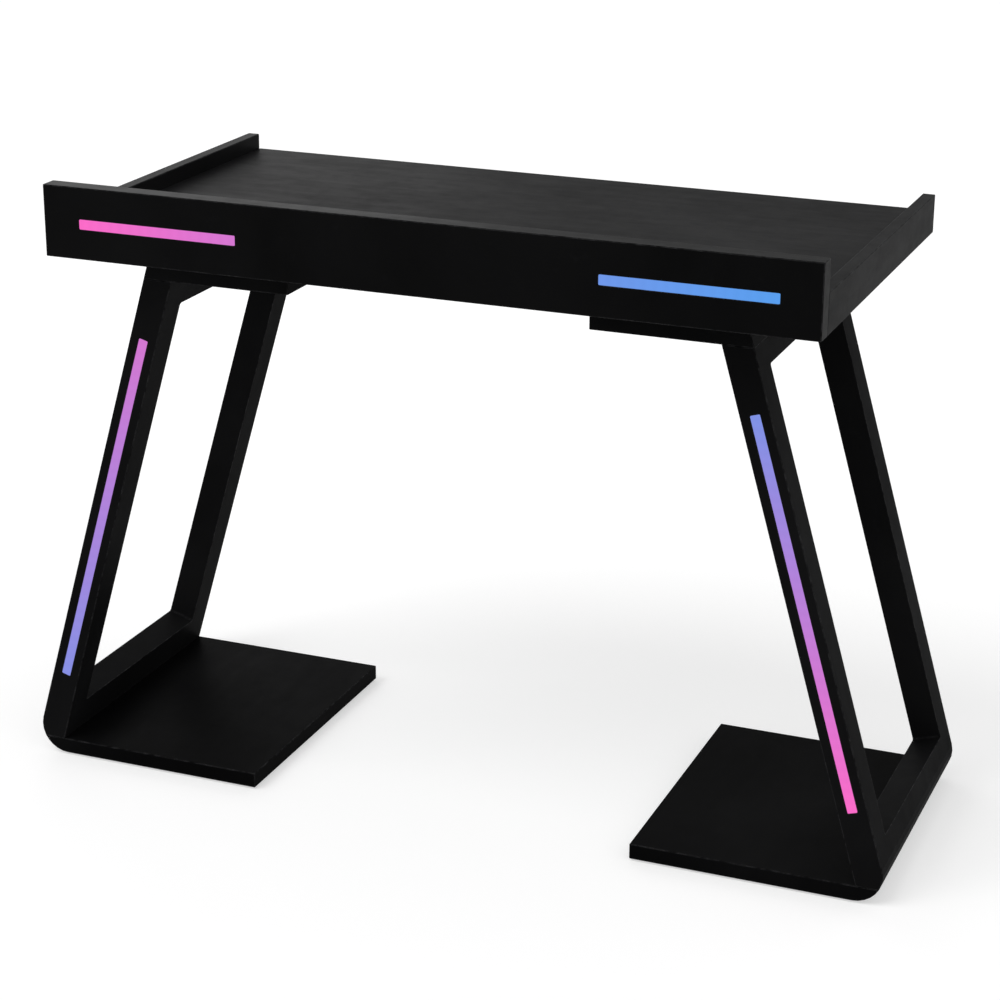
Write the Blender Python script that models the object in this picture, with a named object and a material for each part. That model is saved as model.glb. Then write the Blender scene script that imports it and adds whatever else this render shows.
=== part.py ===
"""DJ table: a tray-like top with a tall front board and two low side rails, carried by two
leg frames that lean outwards and stand on flat base plates. Light bars are let into the
front board and into the front edge of each leg frame, and a small controller hangs under
the rear edge of the worktop.

Metres, +Z up, +X to the right seen from the audience, -Y towards the audience.
The origin is on the floor, under the middle of the top.
"""
import math

import bmesh
import bpy
from mathutils import Matrix, Vector

# Clearance left between pieces that touch
GAP = 0.0003

# The top
FASCIA_WIDTH = 1.200
FASCIA_HEIGHT = 0.110
FASCIA_THICK = 0.030
TOP_DEPTH = 0.670
WORKTOP_THICK = 0.036
RAIL_THICK = 0.020
RAIL_STAND = 0.025
EDGE_CHAMFER = 0.0010

# The leg frames and their plates
LEG_LEAN = math.radians(16.3)
LEG_TOP_INSET = 0.1295
LEG_THICK = 0.046
LEG_RISE = 0.802
POST_WIDTH = 0.051
LOWER_RAIL = 0.054
UPPER_RAIL = 0.049
WINDOW_RADIUS = 0.004
FRAME_FRONT_SETBACK = 0.084
FRAME_REAR_SETBACK = 0.114
FOOT_RADIUS = 0.045
FOOT_STEPS = 8
BASE_THICK = 0.025
BASE_TONGUE = 0.352
TOP_PLATE_THICK = 0.044
TOP_PLATE_TONGUE = 0.197

# Rubber strips under the base plates
STRIP_HEIGHT = 0.003
STRIP_WIDTH = 0.020
STRIP_CHAMFER = 0.0008
STRIP_INSET = 0.020

# Light bars: opal cover with closed ends, aluminium channel and light tape
COVER_WIDTH = 0.0148
COVER_THICK = 0.002
COVER_CORNER = 0.0015
COVER_END_WALL = 0.004
COVER_RIB_DEPTH = 0.003
COVER_RIB_THICK = 0.001
CHANNEL_DEPTH = 0.010
CHANNEL_WALL = 0.0014
TAPE_WIDTH = 0.010
TAPE_THICK = 0.0008
TAPE_END_SPACE = 0.004
CHIP_SIZE = 0.005
CHIP_HEIGHT = 0.0015
CHIP_PITCH = 1 / 30
FASCIA_BAR_LENGTH = 0.259
FASCIA_BAR_INSET = 0.060
FASCIA_BAR_DROP = 0.056
LEG_BAR_LOW = 0.117
LEG_BAR_HIGH = 0.097

# Socket-head screws into the boards
SCREW_RADIUS = 0.0035
SCREW_TIP_RADIUS = 0.002
SCREW_HEAD_RADIUS = 0.0055
SCREW_HEAD_HEIGHT = 0.004
SCREW_SOCKET_RADIUS = 0.0026
SCREW_SOCKET_DEPTH = 0.003
SCREW_HOLE_SLACK = 0.0005
SCREW_GRIP = 0.034
WORKTOP_SCREW_GRIP = 0.024
COUNTERBORE_SLACK = 0.0010
COUNTERBORE_DEPTH = 0.013
FOOT_SCREW_INSET = 0.010
FOOT_SCREW_COUNT = 3
HEAD_SCREW_COUNT = 2
TOP_PLATE_SCREW_INSET = 0.045
SCREW_SIDES = 12

# Dowels glued into the front board and the rails
DOWEL_RADIUS = 0.004
DOWEL_LENGTH = 0.020
DOWEL_CHAMFER = 0.0008
DOWEL_END_INSET = 0.090
FASCIA_DOWEL_COUNT = 4
RAIL_DOWEL_COUNT = 2

# The light controller under the rear edge
CASE_LENGTH = 0.120
CASE_DEPTH = 0.064
CASE_HEIGHT = 0.027
CASE_WALL = 0.002
CASE_CORNER = 0.005
CASE_REAR_INSET = 0.012
EAR_LENGTH = 0.014
EAR_WIDTH = 0.024
EAR_THICK = 0.003
LID_THICK = 0.002
LID_LIP_HEIGHT = 0.002
LID_LIP_THICK = 0.0012
BOARD_THICK = 0.0016
BOARD_DROP = 0.016
BOARD_SIDE_SPACE = 0.0020
BOARD_BACK_SPACE = 0.0060
STAKE_POST_RADIUS = 0.0030
STAKE_PIN_RADIUS = 0.0012
STAKE_PIN_PROUD = 0.0008
STAKE_INSET = 0.0120
BUTTON_RADIUS = 0.0055
BUTTON_PROUD = 0.0035
BUTTON_CROWN = 0.0008
BUTTON_FLANGE = 0.0014
BUTTON_FLANGE_THICK = 0.0012
BUTTON_STEM_RADIUS = 0.0018
BUTTON_STEM_LENGTH = 0.0045
BUTTON_SLACK = 0.0004
BUTTON_TRAVEL = 0.0015
BUTTON_SIDES = 16
CONTROL_INSET = 0.026
BUTTON_PITCH = 0.022
SWITCH_SIZE = 0.0060
TERMINAL_HEIGHT = 0.0080
TERMINAL_LENGTH = 0.0160
DRIVER_CHIP_HEIGHT = 0.0016
INLET_RADIUS = 0.0048
INLET_BORE = 0.0030
INLET_PIN = 0.0010
INLET_LENGTH = 0.014
INLET_BORE_DEPTH = 0.009
INLET_PIN_RECESS = 0.001
INLET_FLANGE = 0.0012
CASE_SCREW_RADIUS = 0.0015
CASE_SCREW_HEAD = 0.0032
CASE_SCREW_HEAD_HEIGHT = 0.0018
CASE_SCREW_LENGTH = 0.014

# Heights and faces that follow from the sizes above
BASE_BOTTOM_Z = STRIP_HEIGHT
BASE_TOP_Z = BASE_BOTTOM_Z + BASE_THICK
LEG_BOTTOM_Z = BASE_TOP_Z + GAP
LEG_TOP_Z = LEG_BOTTOM_Z + LEG_RISE
TOP_PLATE_BOTTOM_Z = LEG_TOP_Z + GAP
TOP_PLATE_TOP_Z = TOP_PLATE_BOTTOM_Z + TOP_PLATE_THICK
UNDERSIDE_Z = TOP_PLATE_TOP_Z + GAP
WORKTOP_TOP_Z = UNDERSIDE_Z + WORKTOP_THICK
RAIL_TOP_Z = WORKTOP_TOP_Z + RAIL_STAND
FASCIA_TOP_Z = UNDERSIDE_Z + FASCIA_HEIGHT

FASCIA_HALF = FASCIA_WIDTH / 2
FRONT_Y = -TOP_DEPTH / 2
REAR_Y = TOP_DEPTH / 2
TRAY_FRONT_Y = FRONT_Y + FASCIA_THICK + GAP
WORKTOP_HALF = FASCIA_HALF - RAIL_THICK - GAP
FRAME_FRONT_Y = FRONT_Y + FRAME_FRONT_SETBACK
FRAME_REAR_Y = REAR_Y - FRAME_REAR_SETBACK
FRAME_MIDDLE_Y = (FRAME_FRONT_Y + FRAME_REAR_Y) / 2

LEAN_SIN = math.sin(LEG_LEAN)
LEAN_COS = math.cos(LEG_LEAN)
LEAN_SLOPE = LEAN_SIN / LEAN_COS
LEG_TOP_X = FASCIA_HALF - LEG_TOP_INSET
FOOT_Z = BASE_BOTTOM_Z + FOOT_RADIUS
FOOT_X = LEG_TOP_X + (UNDERSIDE_Z - FOOT_Z) * LEAN_SLOPE - FOOT_RADIUS / LEAN_COS

GROOVE_DEPTH = COVER_THICK + GAP + CHANNEL_DEPTH + GAP
CHANNEL_HALF = COVER_WIDTH / 2
CHANNEL_MOUTH = COVER_THICK + GAP
CHANNEL_FLOOR = CHANNEL_MOUTH + CHANNEL_DEPTH
CHANNEL_BED = CHANNEL_FLOOR - CHANNEL_WALL
LEG_BAR_LENGTH = (LEG_RISE - LEG_BAR_LOW - LEG_BAR_HIGH) / LEAN_COS

SCREW_BORE = SCREW_RADIUS + SCREW_HOLE_SLACK
DOWEL_Z = UNDERSIDE_Z + WORKTOP_THICK / 2
CASE_BACK_Y = REAR_Y - CASE_REAR_INSET
CASE_FRONT_Y = CASE_BACK_Y - CASE_DEPTH
CASE_MIDDLE_Y = (CASE_BACK_Y + CASE_FRONT_Y) / 2
CASE_TOP_Z = UNDERSIDE_Z - GAP
CASE_BOTTOM_Z = CASE_TOP_Z - CASE_HEIGHT
CASE_RIM_Z = CASE_BOTTOM_Z + LID_THICK + GAP
BOARD_TOP_Z = CASE_TOP_Z - BOARD_DROP
BUTTON_Z = CASE_TOP_Z - CASE_HEIGHT / 2
POWER_BUTTON_X = CASE_LENGTH / 2 - CONTROL_INSET
MODE_BUTTON_X = POWER_BUTTON_X - BUTTON_PITCH
INLET_X = CONTROL_INSET - CASE_LENGTH / 2

MATERIALS = {
    "black_board": ((0.012, 0.012, 0.013), 0.42, 0.0),
    "black_leg": ((0.010, 0.010, 0.011), 0.45, 0.0),
    "opal_cover": ((0.55, 0.33, 0.80), 0.35, 0.0),
    "channel_metal": ((0.60, 0.61, 0.63), 0.35, 1.0),
    "tape_white": ((0.80, 0.80, 0.78), 0.50, 0.0),
    "zinc_steel": ((0.55, 0.55, 0.57), 0.30, 1.0),
    "strip_rubber": ((0.020, 0.020, 0.021), 0.85, 0.0),
    "case_plastic": ((0.020, 0.020, 0.021), 0.50, 0.0),
    "circuit_board": ((0.020, 0.16, 0.07), 0.45, 0.0),
    "button_rubber": ((0.10, 0.10, 0.11), 0.60, 0.0),
    "inlet_plastic": ((0.030, 0.030, 0.032), 0.55, 0.0),
}


def clear_scene():
    for item in list(bpy.data.objects):
        bpy.data.objects.remove(item, do_unlink=True)


def make_material(name):
    colour, roughness, metallic = MATERIALS[name]
    made = bpy.data.materials.get(name) or bpy.data.materials.new(name)
    made.use_nodes = True
    shader = made.node_tree.nodes["Principled BSDF"]
    shader.inputs["Base Color"].default_value = (*colour, 1.0)
    shader.inputs["Roughness"].default_value = roughness
    shader.inputs["Metallic"].default_value = metallic
    made.diffuse_color = (*colour, 1.0)
    return made


def make_object(name, shape, material, frame=None):
    """One named object from a bmesh, placed by a location and a rotation."""
    bmesh.ops.recalc_face_normals(shape, faces=shape.faces)
    mesh = bpy.data.meshes.new(name)
    shape.to_mesh(mesh)
    shape.free()
    mesh.materials.append(make_material(material))
    mesh.shade_smooth()
    mesh.set_sharp_from_angle(angle=math.radians(30))
    made = bpy.data.objects.new(name, mesh)
    bpy.context.scene.collection.objects.link(made)
    if frame is not None:
        made.location = frame.to_translation()
        made.rotation_euler = frame.to_euler()
    return made


def combine(target, shape, operation, label):
    """Adds a boolean with a hidden helper object."""
    bmesh.ops.recalc_face_normals(shape, faces=shape.faces)
    mesh = bpy.data.meshes.new(label)
    shape.to_mesh(mesh)
    shape.free()
    helper = bpy.data.objects.new(label, mesh)
    bpy.context.scene.collection.objects.link(helper)
    helper.location = target.location
    helper.rotation_euler = target.rotation_euler
    helper.hide_render = True
    helper.display_type = "WIRE"
    boolean = target.modifiers.new(label, "BOOLEAN")
    boolean.operation = operation
    boolean.solver = "EXACT"
    boolean.object = helper


def cut(target, shape, label):
    combine(target, shape, "DIFFERENCE", target.name + "_" + label)


def join(target, shape, label):
    combine(target, shape, "UNION", target.name + "_" + label)


def sharp_edges(shape):
    return [edge for edge in shape.edges if edge.calc_face_angle(0.0) > math.radians(30)]


def chamfer(shape, edges, width=EDGE_CHAMFER):
    bmesh.ops.bevel(shape, geom=edges, offset=width, segments=1, profile=0.5,
                    affect="EDGES", clamp_overlap=True)


def add_prism(shape, outline, low, high, frame=Matrix()):
    """A closed prism: the outline's (a, b) points, carried from low to high along c."""
    bottom = [shape.verts.new(frame @ Vector((a, b, low))) for a, b in outline]
    top = [shape.verts.new(frame @ Vector((a, b, high))) for a, b in outline]
    faces = [shape.faces.new(bottom), shape.faces.new(top)]
    for here in range(len(outline)):
        after = (here + 1) % len(outline)
        faces.append(shape.faces.new((bottom[here], bottom[after], top[after], top[here])))
    bmesh.ops.recalc_face_normals(shape, faces=faces)
    return faces


def add_box(shape, low, high):
    """An axis-aligned box between two corners."""
    outline = [(low[0], low[1]), (high[0], low[1]), (high[0], high[1]), (low[0], high[1])]
    return add_prism(shape, outline, low[2], high[2])


def add_turned(shape, profile, sides, frame=Matrix()):
    """A body turned about local Z from (radius, height) points that start and end on the axis.
    A radius written as (radius, True) has flats: six of them on twice as many points."""
    rings = []
    for radius, height in profile:
        six_sided = isinstance(radius, tuple)
        reach = radius[0] if six_sided else radius
        if reach == 0:
            rings.append([shape.verts.new(frame @ Vector((0, 0, height)))])
            continue
        ring = []
        for step in range(sides):
            turn = 2 * math.pi * step / sides
            here = reach * math.cos(math.radians(30)) if six_sided and step % 2 else reach
            point = Vector((here * math.cos(turn), here * math.sin(turn), height))
            ring.append(shape.verts.new(frame @ point))
        rings.append(ring)
    faces = []
    for lower, upper in zip(rings, rings[1:]):
        for step in range(sides):
            after = (step + 1) % sides
            if len(lower) == 1:
                faces.append(shape.faces.new((lower[0], upper[step], upper[after])))
            elif len(upper) == 1:
                faces.append(shape.faces.new((lower[step], lower[after], upper[0])))
            else:
                corners = (lower[step], lower[after], upper[after], upper[step])
                faces.append(shape.faces.new(corners))
    bmesh.ops.recalc_face_normals(shape, faces=faces)


def add_cylinder(shape, radius, low, high, sides, frame=Matrix()):
    add_turned(shape, [(0, low), (radius, low), (radius, high), (0, high)], sides, frame)


def rounded_outline(low, high, radius, steps=3):
    """A rectangle with round corners, anticlockwise."""
    points = []
    corners = ((high[0], low[1], -90), (high[0], high[1], 0), (low[0], high[1], 90),
               (low[0], low[1], 180))
    for a, b, start in corners:
        centre_a = a - radius if a == high[0] else a + radius
        centre_b = b - radius if b == high[1] else b + radius
        for step in range(steps + 1):
            turn = math.radians(start + 90 * step / steps)
            points.append((centre_a + radius * math.cos(turn), centre_b + radius * math.sin(turn)))
    return points


def spread(count, low, high):
    """Evenly spaced places from low to high."""
    if count == 1:
        return [(low + high) / 2]
    return [low + (high - low) * step / (count - 1) for step in range(count)]


# Outlines drawn in X and Z are carried along Y
ALONG_Y = Matrix(((1, 0, 0, 0), (0, 0, 1, 0), (0, 1, 0, 0), (0, 0, 0, 1)))
# Outlines drawn in Y and Z are carried along X
ALONG_X = Matrix(((0, 0, 1, 0), (1, 0, 0, 0), (0, 1, 0, 0), (0, 0, 0, 1)))


def upright(x, y, z):
    """A frame whose local Z points up."""
    return Matrix.Translation((x, y, z))


def downward(x, y, z):
    """A frame whose local Z points down."""
    return Matrix.Translation((x, y, z)) @ Matrix.Rotation(math.pi, 4, "X")


def pointing(direction, place):
    """A frame at place whose local Z points along direction."""
    turn = Vector(direction).to_track_quat("Z", "Y").to_matrix().to_4x4()
    return Matrix.Translation(place) @ turn


# The leaning leg

def outer_x(z):
    return LEG_TOP_X + (UNDERSIDE_Z - z) * LEAN_SLOPE


def inner_x(z):
    return outer_x(z) - LEG_THICK / LEAN_COS


def leg_middle_x(z):
    return (outer_x(z) + inner_x(z)) / 2


def foot_angle(z):
    """Where the rounded foot corner passes a height."""
    return math.asin((z - FOOT_Z) / FOOT_RADIUS)


def foot_corner(start, stop):
    """The rounded outer foot corner, between two angles."""
    steps = max(1, round(FOOT_STEPS * (stop - start) / (LEG_LEAN + math.pi / 2)))
    turns = [start + (stop - start) * step / steps for step in range(steps + 1)]
    return [(FOOT_X + FOOT_RADIUS * math.cos(turn), FOOT_Z + FOOT_RADIUS * math.sin(turn))
            for turn in turns]


def mirrored(outline, side):
    return [(side * a, b) for a, b in outline]


def bar_frame_on_leg(side):
    """The light bar's frame on the front edge: local X climbs the leg, local -Y faces front."""
    low = LEG_BOTTOM_Z + LEG_BAR_LOW
    high = LEG_TOP_Z - LEG_BAR_HIGH
    middle = (low + high) / 2
    place = Matrix.Translation((side * leg_middle_x(middle), FRAME_FRONT_Y, middle))
    return place @ Matrix.Rotation(-(math.pi / 2 + side * LEG_LEAN), 4, "Y")


def bar_frame_on_fascia(side):
    middle = side * (FASCIA_HALF - FASCIA_BAR_INSET - FASCIA_BAR_LENGTH / 2)
    return Matrix.Translation((middle, FRONT_Y, FASCIA_TOP_Z - FASCIA_BAR_DROP))


def panel_frame(side):
    """A leg frame's own plane: local X is depth, local Y climbs, local Z points outwards."""
    return Matrix((
        (0, -side * LEAN_SIN, side * LEAN_COS, side * inner_x(LEG_BOTTOM_Z)),
        (1, 0, 0, 0),
        (0, LEAN_COS, LEAN_SIN, LEG_BOTTOM_Z),
        (0, 0, 0, 1)))


# Places shared by holes and by what goes in them

def foot_screws(side):
    """Screws up through the base plate into the leg frame."""
    x = side * (inner_x(BASE_TOP_Z) + FOOT_SCREW_INSET)
    rows = spread(FOOT_SCREW_COUNT, FRAME_FRONT_Y + POST_WIDTH / 2, FRAME_REAR_Y - POST_WIDTH / 2)
    return [(x, y) for y in rows]


def head_screws(side):
    """Screws down through the top plate into the leg frame."""
    x = side * leg_middle_x(LEG_TOP_Z)
    rows = spread(HEAD_SCREW_COUNT, FRAME_FRONT_Y + POST_WIDTH / 2, FRAME_REAR_Y - POST_WIDTH / 2)
    return [(x, y) for y in rows]


def worktop_screws(side):
    """Screws up through the top plate into the worktop."""
    outer = inner_x(TOP_PLATE_BOTTOM_Z) - TOP_PLATE_SCREW_INSET
    inner = inner_x(TOP_PLATE_BOTTOM_Z) - TOP_PLATE_TONGUE + TOP_PLATE_SCREW_INSET
    rows = (FRAME_FRONT_Y + TOP_PLATE_SCREW_INSET, FRAME_REAR_Y - TOP_PLATE_SCREW_INSET)
    return [(side * x, y) for x in (inner, outer) for y in rows]


def fascia_dowels():
    """Frames on the front board's back face, local Z into the worktop."""
    reach = FASCIA_HALF - DOWEL_END_INSET
    return [pointing((0, 1, 0), (x, FRONT_Y + FASCIA_THICK, DOWEL_Z))
            for x in spread(FASCIA_DOWEL_COUNT, -reach, reach)]


def rail_dowels(side):
    """Frames on a rail's inner face, local Z into the worktop."""
    rows = spread(RAIL_DOWEL_COUNT, TRAY_FRONT_Y + DOWEL_END_INSET, REAR_Y - DOWEL_END_INSET)
    x = side * (FASCIA_HALF - RAIL_THICK)
    return [pointing((-side, 0, 0), (x, y, DOWEL_Z)) for y in rows]


def ear_places():
    reach = CASE_LENGTH / 2 + EAR_LENGTH / 2
    return [(side * reach, CASE_MIDDLE_Y) for side in (-1, 1)]


def stake_places():
    reach = CASE_LENGTH / 2 - STAKE_INSET
    rows = (CASE_BACK_Y - STAKE_INSET, CASE_FRONT_Y + STAKE_INSET)
    return [(side * reach, y) for side in (-1, 1) for y in rows]


# Holes

def add_stepped_bore(shape, frame, plate_thick):
    """A screw's hole through a plate: its mouth is at local 0 and it runs along local Z."""
    over = COUNTERBORE_DEPTH
    wide = SCREW_HEAD_RADIUS + COUNTERBORE_SLACK
    profile = [(0, -over), (wide, -over), (wide, COUNTERBORE_DEPTH),
               (SCREW_BORE, COUNTERBORE_DEPTH), (SCREW_BORE, plate_thick + over),
               (0, plate_thick + over)]
    add_turned(shape, profile, SCREW_SIDES, frame)


def add_pilot_hole(shape, frame, grip):
    """A blind hole for a screw's end: its mouth is at local 0 and it runs along local Z."""
    radius = SCREW_RADIUS + GAP
    add_cylinder(shape, radius, -grip / 2, grip + radius, SCREW_SIDES, frame)


def add_groove(shape, length, frame):
    """The blind slot that a light bar is let into."""
    half = length / 2 + GAP
    wide = COVER_WIDTH / 2 + GAP
    outline = rounded_outline((-half, -wide), (half, wide), COVER_CORNER)
    add_prism(shape, outline, -GROOVE_DEPTH, GROOVE_DEPTH, frame @ ALONG_Y)


# Fasteners

def build_screw(name, frame, length):
    """A socket-head screw: its seat is at local 0 and its shank points along local Z."""
    top = -SCREW_HEAD_HEIGHT
    socket = (SCREW_SOCKET_RADIUS, True)
    profile = [(0, top + SCREW_SOCKET_DEPTH), (socket, top + SCREW_SOCKET_DEPTH), (socket, top),
               (SCREW_HEAD_RADIUS, top), (SCREW_HEAD_RADIUS, 0), (SCREW_RADIUS, 0),
               (SCREW_RADIUS, length - SCREW_RADIUS), (SCREW_TIP_RADIUS, length), (0, length)]
    shape = bmesh.new()
    add_turned(shape, profile, SCREW_SIDES)
    make_object(name, shape, "zinc_steel", frame)


def build_case_screw(name, frame):
    """A small pan-head screw whose seat is at local 0."""
    top = -CASE_SCREW_HEAD_HEIGHT
    profile = [(0, top), (CASE_SCREW_HEAD * 0.7, top), (CASE_SCREW_HEAD, top * 0.4),
               (CASE_SCREW_HEAD, 0), (CASE_SCREW_RADIUS, 0),
               (CASE_SCREW_RADIUS, CASE_SCREW_LENGTH), (0, CASE_SCREW_LENGTH)]
    shape = bmesh.new()
    add_turned(shape, profile, SCREW_SIDES)
    make_object(name, shape, "zinc_steel", frame)


# Boards of the top

def board(name, low, high, material):
    """A rectangular board with a fine chamfer on every edge."""
    shape = bmesh.new()
    add_box(shape, low, high)
    chamfer(shape, sharp_edges(shape))
    return make_object(name, shape, material)


def add_dowels(target, frames):
    """Glued dowels that stand out of a board."""
    pegs = bmesh.new()
    tip = DOWEL_RADIUS - DOWEL_CHAMFER
    profile = [(0, -DOWEL_RADIUS), (DOWEL_RADIUS, -DOWEL_RADIUS),
               (DOWEL_RADIUS, DOWEL_LENGTH - DOWEL_CHAMFER), (tip, DOWEL_LENGTH),
               (0, DOWEL_LENGTH)]
    for frame in frames:
        add_turned(pegs, profile, SCREW_SIDES, frame)
    join(target, pegs, "dowels")


def build_fascia():
    fascia = board("fascia_panel", (-FASCIA_HALF, FRONT_Y, UNDERSIDE_Z),
                   (FASCIA_HALF, FRONT_Y + FASCIA_THICK, FASCIA_TOP_Z), "black_board")
    add_dowels(fascia, fascia_dowels())
    grooves = bmesh.new()
    for side in (-1, 1):
        add_groove(grooves, FASCIA_BAR_LENGTH, bar_frame_on_fascia(side))
    cut(fascia, grooves, "grooves")


def build_side_rail(side, name):
    low, high = sorted((side * FASCIA_HALF, side * (FASCIA_HALF - RAIL_THICK)))
    rail = board(name, (low, TRAY_FRONT_Y, UNDERSIDE_Z), (high, REAR_Y, RAIL_TOP_Z),
                 "black_board")
    add_dowels(rail, rail_dowels(side))


def build_worktop():
    worktop = board("worktop", (-WORKTOP_HALF, TRAY_FRONT_Y, UNDERSIDE_Z),
                    (WORKTOP_HALF, REAR_Y, WORKTOP_TOP_Z), "black_board")
    holes = bmesh.new()
    for side in (-1, 1):
        for x, y in worktop_screws(side):
            add_pilot_hole(holes, upright(x, y, UNDERSIDE_Z), WORKTOP_SCREW_GRIP)
    for x, y in ear_places():
        add_cylinder(holes, CASE_SCREW_RADIUS + GAP, -CASE_SCREW_LENGTH, CASE_SCREW_LENGTH,
                     SCREW_SIDES, upright(x, y, UNDERSIDE_Z))
    cut(worktop, holes, "screw_holes")
    sockets = bmesh.new()
    for frame in fascia_dowels() + rail_dowels(-1) + rail_dowels(1):
        add_cylinder(sockets, DOWEL_RADIUS + GAP, -DOWEL_RADIUS, DOWEL_LENGTH + DOWEL_RADIUS,
                     SCREW_SIDES, frame)
    cut(worktop, sockets, "dowel_holes")


# Legs and plates

def build_base_plate(side, name):
    split = foot_angle(BASE_TOP_Z)
    inner_end = inner_x(BASE_TOP_Z) - BASE_TONGUE
    outline = [(inner_end, BASE_TOP_Z), (inner_end, BASE_BOTTOM_Z)]
    outline += foot_corner(-math.pi / 2, split)
    shape = bmesh.new()
    add_prism(shape, mirrored(outline, side), FRAME_FRONT_Y, FRAME_REAR_Y, ALONG_Y)
    seat = inner_x(BASE_TOP_Z)
    edges = [edge for edge in sharp_edges(shape)
             if not all(abs(vert.co.x) > seat and vert.co.z > BASE_TOP_Z - GAP
                        for vert in edge.verts)]
    chamfer(shape, edges)
    plate = make_object(name, shape, "black_leg")
    holes = bmesh.new()
    for x, y in foot_screws(side):
        add_stepped_bore(holes, upright(x, y, BASE_BOTTOM_Z), BASE_THICK)
    cut(plate, holes, "screw_holes")


def build_leg_frame(side, name):
    outline = [(inner_x(LEG_BOTTOM_Z), LEG_BOTTOM_Z)]
    outline += foot_corner(foot_angle(LEG_BOTTOM_Z), LEG_LEAN)
    outline += [(outer_x(LEG_TOP_Z), LEG_TOP_Z), (inner_x(LEG_TOP_Z), LEG_TOP_Z)]
    shape = bmesh.new()
    add_prism(shape, mirrored(outline, side), FRAME_FRONT_Y, FRAME_REAR_Y, ALONG_Y)
    edges = [edge for edge in sharp_edges(shape)
             if abs(edge.verts[0].co.z - edge.verts[1].co.z) > GAP]
    chamfer(shape, edges)
    leg = make_object(name, shape, "black_leg")

    window = bmesh.new()
    climb = LEG_RISE / LEAN_COS
    outline = rounded_outline((FRAME_FRONT_Y + POST_WIDTH, LOWER_RAIL),
                              (FRAME_REAR_Y - POST_WIDTH, climb - UPPER_RAIL), WINDOW_RADIUS)
    add_prism(window, outline, -LEG_THICK, 2 * LEG_THICK, panel_frame(side))
    cut(leg, window, "window")

    holes = bmesh.new()
    add_groove(holes, LEG_BAR_LENGTH, bar_frame_on_leg(side))
    for x, y in foot_screws(side):
        add_pilot_hole(holes, upright(x, y, LEG_BOTTOM_Z), SCREW_GRIP)
    for x, y in head_screws(side):
        add_pilot_hole(holes, downward(x, y, LEG_TOP_Z), SCREW_GRIP)
    cut(leg, holes, "holes")


def build_top_plate(side, name):
    inner_end = inner_x(TOP_PLATE_BOTTOM_Z) - TOP_PLATE_TONGUE
    outline = [(inner_end, TOP_PLATE_BOTTOM_Z), (outer_x(TOP_PLATE_BOTTOM_Z), TOP_PLATE_BOTTOM_Z),
               (outer_x(TOP_PLATE_TOP_Z), TOP_PLATE_TOP_Z), (inner_end, TOP_PLATE_TOP_Z)]
    shape = bmesh.new()
    add_prism(shape, mirrored(outline, side), FRAME_FRONT_Y, FRAME_REAR_Y, ALONG_Y)
    seat = inner_x(TOP_PLATE_BOTTOM_Z)
    edges = [edge for edge in sharp_edges(shape)
             if not all(abs(vert.co.x) > seat and vert.co.z < TOP_PLATE_BOTTOM_Z + GAP
                        for vert in edge.verts)]
    chamfer(shape, edges)
    plate = make_object(name, shape, "black_leg")
    holes = bmesh.new()
    for x, y in worktop_screws(side):
        add_stepped_bore(holes, upright(x, y, TOP_PLATE_BOTTOM_Z), TOP_PLATE_THICK)
    for x, y in head_screws(side):
        add_stepped_bore(holes, downward(x, y, TOP_PLATE_TOP_Z), TOP_PLATE_THICK)
    cut(plate, holes, "screw_holes")


def build_floor_strips(side, label):
    """Two rubber strips stuck under one base plate, across its ends."""
    inner = inner_x(BASE_TOP_Z) - BASE_TONGUE + STRIP_INSET + STRIP_WIDTH / 2
    outer = FOOT_X - STRIP_WIDTH / 2
    half = STRIP_WIDTH / 2
    top = STRIP_HEIGHT - GAP
    outline = [(-half, top), (-half, STRIP_CHAMFER), (STRIP_CHAMFER - half, 0),
               (half - STRIP_CHAMFER, 0), (half, STRIP_CHAMFER), (half, top)]
    for x, end in ((inner, "inner"), (outer, "outer")):
        shape = bmesh.new()
        add_prism(shape, outline, FRAME_FRONT_Y + STRIP_INSET, FRAME_REAR_Y - STRIP_INSET, ALONG_Y)
        make_object("floor_strip_" + label + "_" + end, shape, "strip_rubber",
                    upright(side * x, 0, 0))


# Light bars

def build_cover(name, length, frame):
    """The opal cover: a face flush with the board, closed ends, and two ribs in the channel."""
    half = COVER_WIDTH / 2
    end = length / 2
    shape = bmesh.new()
    outline = rounded_outline((-end, -half), (end, half), COVER_CORNER)
    add_prism(shape, outline, 0, CHANNEL_FLOOR, ALONG_Y)
    cover = make_object(name, shape, "opal_cover", frame)
    room = bmesh.new()
    inside = end - COVER_END_WALL
    add_box(room, (-inside, COVER_THICK, -2 * half), (inside, 2 * CHANNEL_FLOOR, 2 * half))
    cut(cover, room, "channel_room")
    ribs = bmesh.new()
    rib = half - CHANNEL_WALL - GAP
    for side in (-1, 1):
        low, high = sorted((side * rib, side * (rib - COVER_RIB_THICK)))
        add_box(ribs, (-inside - COVER_END_WALL / 2, COVER_THICK / 2, low),
                (inside + COVER_END_WALL / 2, COVER_THICK + COVER_RIB_DEPTH, high))
    join(cover, ribs, "ribs")


def build_channel(name, length, frame):
    """The aluminium channel: an open U whose mouth the cover closes."""
    inside = CHANNEL_HALF - CHANNEL_WALL
    outline = [(CHANNEL_MOUTH, -CHANNEL_HALF), (CHANNEL_FLOOR, -CHANNEL_HALF),
               (CHANNEL_FLOOR, CHANNEL_HALF), (CHANNEL_MOUTH, CHANNEL_HALF),
               (CHANNEL_MOUTH, inside), (CHANNEL_BED, inside), (CHANNEL_BED, -inside),
               (CHANNEL_MOUTH, -inside)]
    shape = bmesh.new()
    reach = length / 2 - COVER_END_WALL - GAP
    add_prism(shape, outline, -reach, reach, ALONG_X)
    make_object(name, shape, "channel_metal", frame)


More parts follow.
